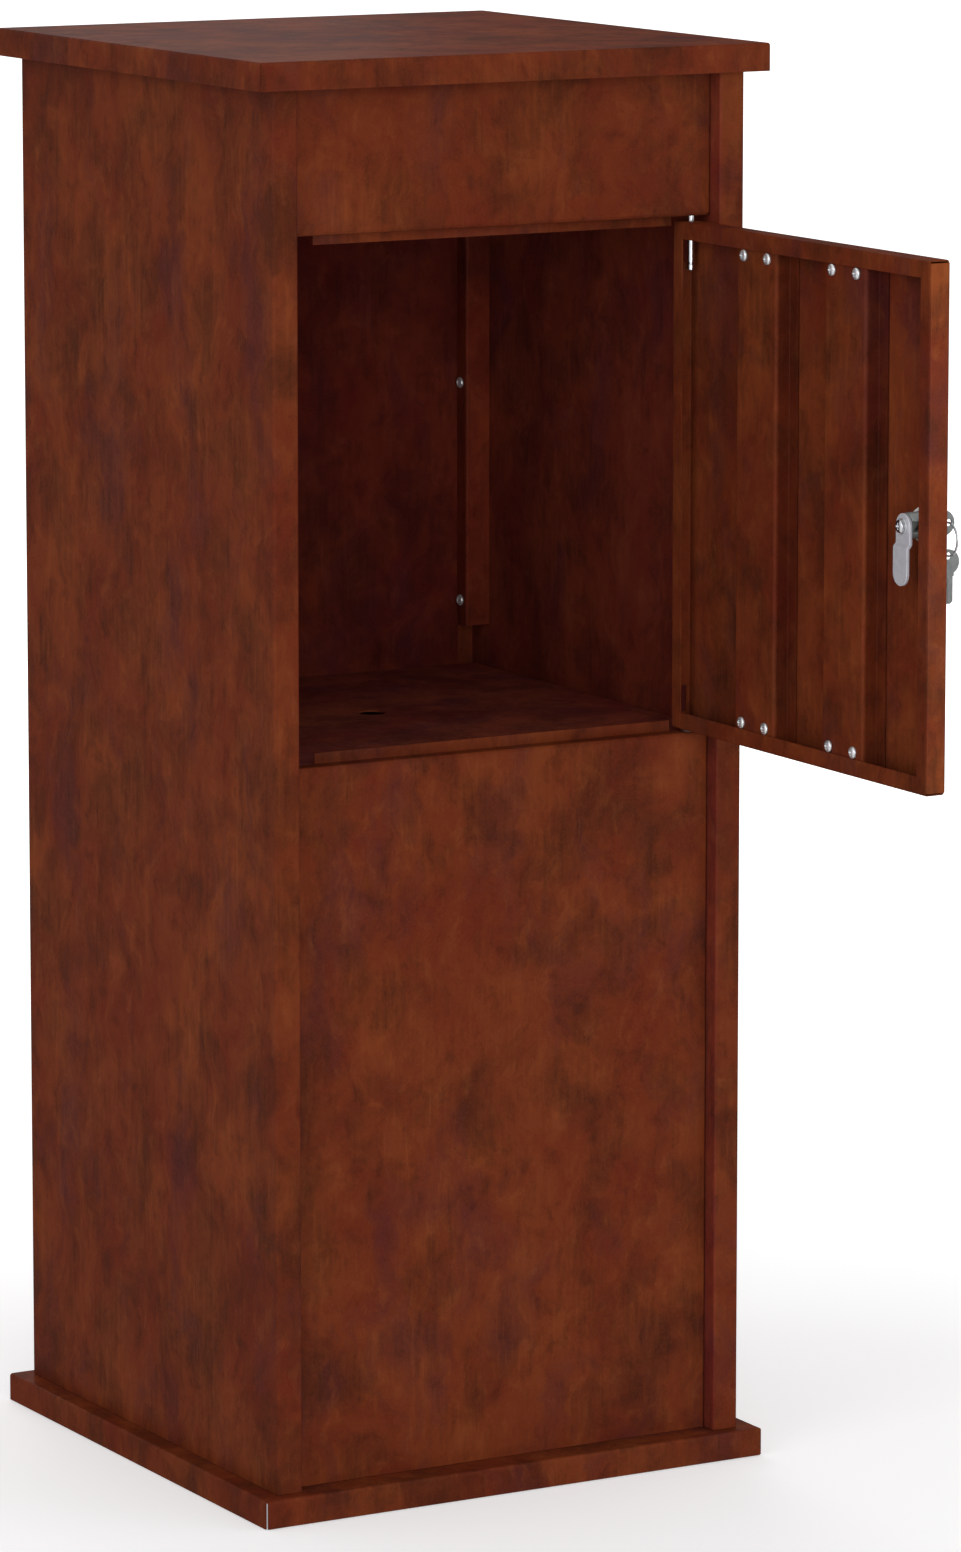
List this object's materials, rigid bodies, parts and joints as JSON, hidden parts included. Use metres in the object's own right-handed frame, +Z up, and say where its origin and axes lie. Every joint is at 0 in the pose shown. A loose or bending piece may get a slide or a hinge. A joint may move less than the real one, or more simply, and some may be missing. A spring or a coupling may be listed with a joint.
{
  "type": "mailbox",
  "caption": "Free-standing rusty sheet-steel mailbox: a tall box on a tray foot under a tray lid, with a lockable parcel door standing open and a letter slot with a flap.",
  "frame": {"origin": "on the floor, at the middle of the base's folded edge under the door", "axes": "+Z up, +Y from the door side to the letter-slot side, +X towards the door's hinge"},
  "size_m": [0.41, 0.7126, 1.032],
  "materials": {
    "rusty_steel": "mottled rust, satin",
    "zinc_steel": "zinc-plated, slightly dulled",
    "bright_chrome": "bright plated"
  },
  "bodies": {
    "box": {"base_tray": "rusty_steel", "top_cap": "rusty_steel", "left_side_panel": "rusty_steel", "right_side_panel": "rusty_steel", "upper_door_side_panel": "rusty_steel", "lower_door_side_panel": "rusty_steel", "slot_side_panel": "rusty_steel", "shelf": "rusty_steel", "shelf_bracket_left": "rusty_steel", "shelf_bracket_right": "rusty_steel", "corner_rail_left": "rusty_steel", "corner_rail_right": "rusty_steel", "flap_pin": "zinc_steel", "hinge_washer": "zinc_steel", "rail_screw_1": "zinc_steel", "rail_screw_2": "zinc_steel", "rail_screw_3": "zinc_steel", "rail_screw_4": "zinc_steel", "base_screw_1": "zinc_steel", "base_screw_2": "zinc_steel", "base_screw_3": "zinc_steel", "base_screw_4": "zinc_steel", "cap_nut_1": "zinc_steel", "cap_nut_2": "zinc_steel", "cap_nut_3": "zinc_steel", "cap_nut_4": "zinc_steel"},
    "door": {"door_tray": "rusty_steel", "door_rib_hinge_side": "rusty_steel", "door_rib_lock_side": "rusty_steel", "upper_hinge_pin": "bright_chrome", "lower_hinge_pin": "bright_chrome", "lock_barrel": "bright_chrome", "lock_nut": "bright_chrome", "rib_screw_1": "zinc_steel", "rib_screw_2": "zinc_steel", "rib_screw_3": "zinc_steel", "rib_screw_4": "zinc_steel", "rib_screw_5": "zinc_steel", "rib_screw_6": "zinc_steel", "rib_screw_7": "zinc_steel", "rib_screw_8": "zinc_steel"},
    "lock": {"lock_plug": "zinc_steel", "lock_cam": "zinc_steel", "cam_washer": "zinc_steel", "cam_bolt": "zinc_steel", "key": "zinc_steel"},
    "keys": {"key_ring": "zinc_steel", "spare_key": "zinc_steel"},
    "flap": {"mail_flap": "rusty_steel"}
  },
  "joints": [
    {"name": "door_hinge", "type": "hinge", "parent": "box", "child": "door", "pos_m": [0.1562, 0.027, 0.72175], "axis": [0, 0, 1], "range_deg": [-90, 16]},
    {"name": "lock_turn", "type": "hinge", "parent": "door", "child": "lock", "pos_m": [0.15, -0.2707, 0.72175], "axis": [-1, 0, 0], "range_deg": [0, 90]},
    {"name": "keys_swing", "type": "hinge", "parent": "lock", "child": "keys", "pos_m": [0.1819, -0.2707, 0.72175], "axis": [1, 0, 0], "range_deg": [-45, 45]},
    {"name": "mail_flap_hinge", "type": "hinge", "parent": "box", "child": "flap", "pos_m": [0, 0.39545, 0.985], "axis": [1, 0, 0], "range_deg": [0, 85]}
  ]
}
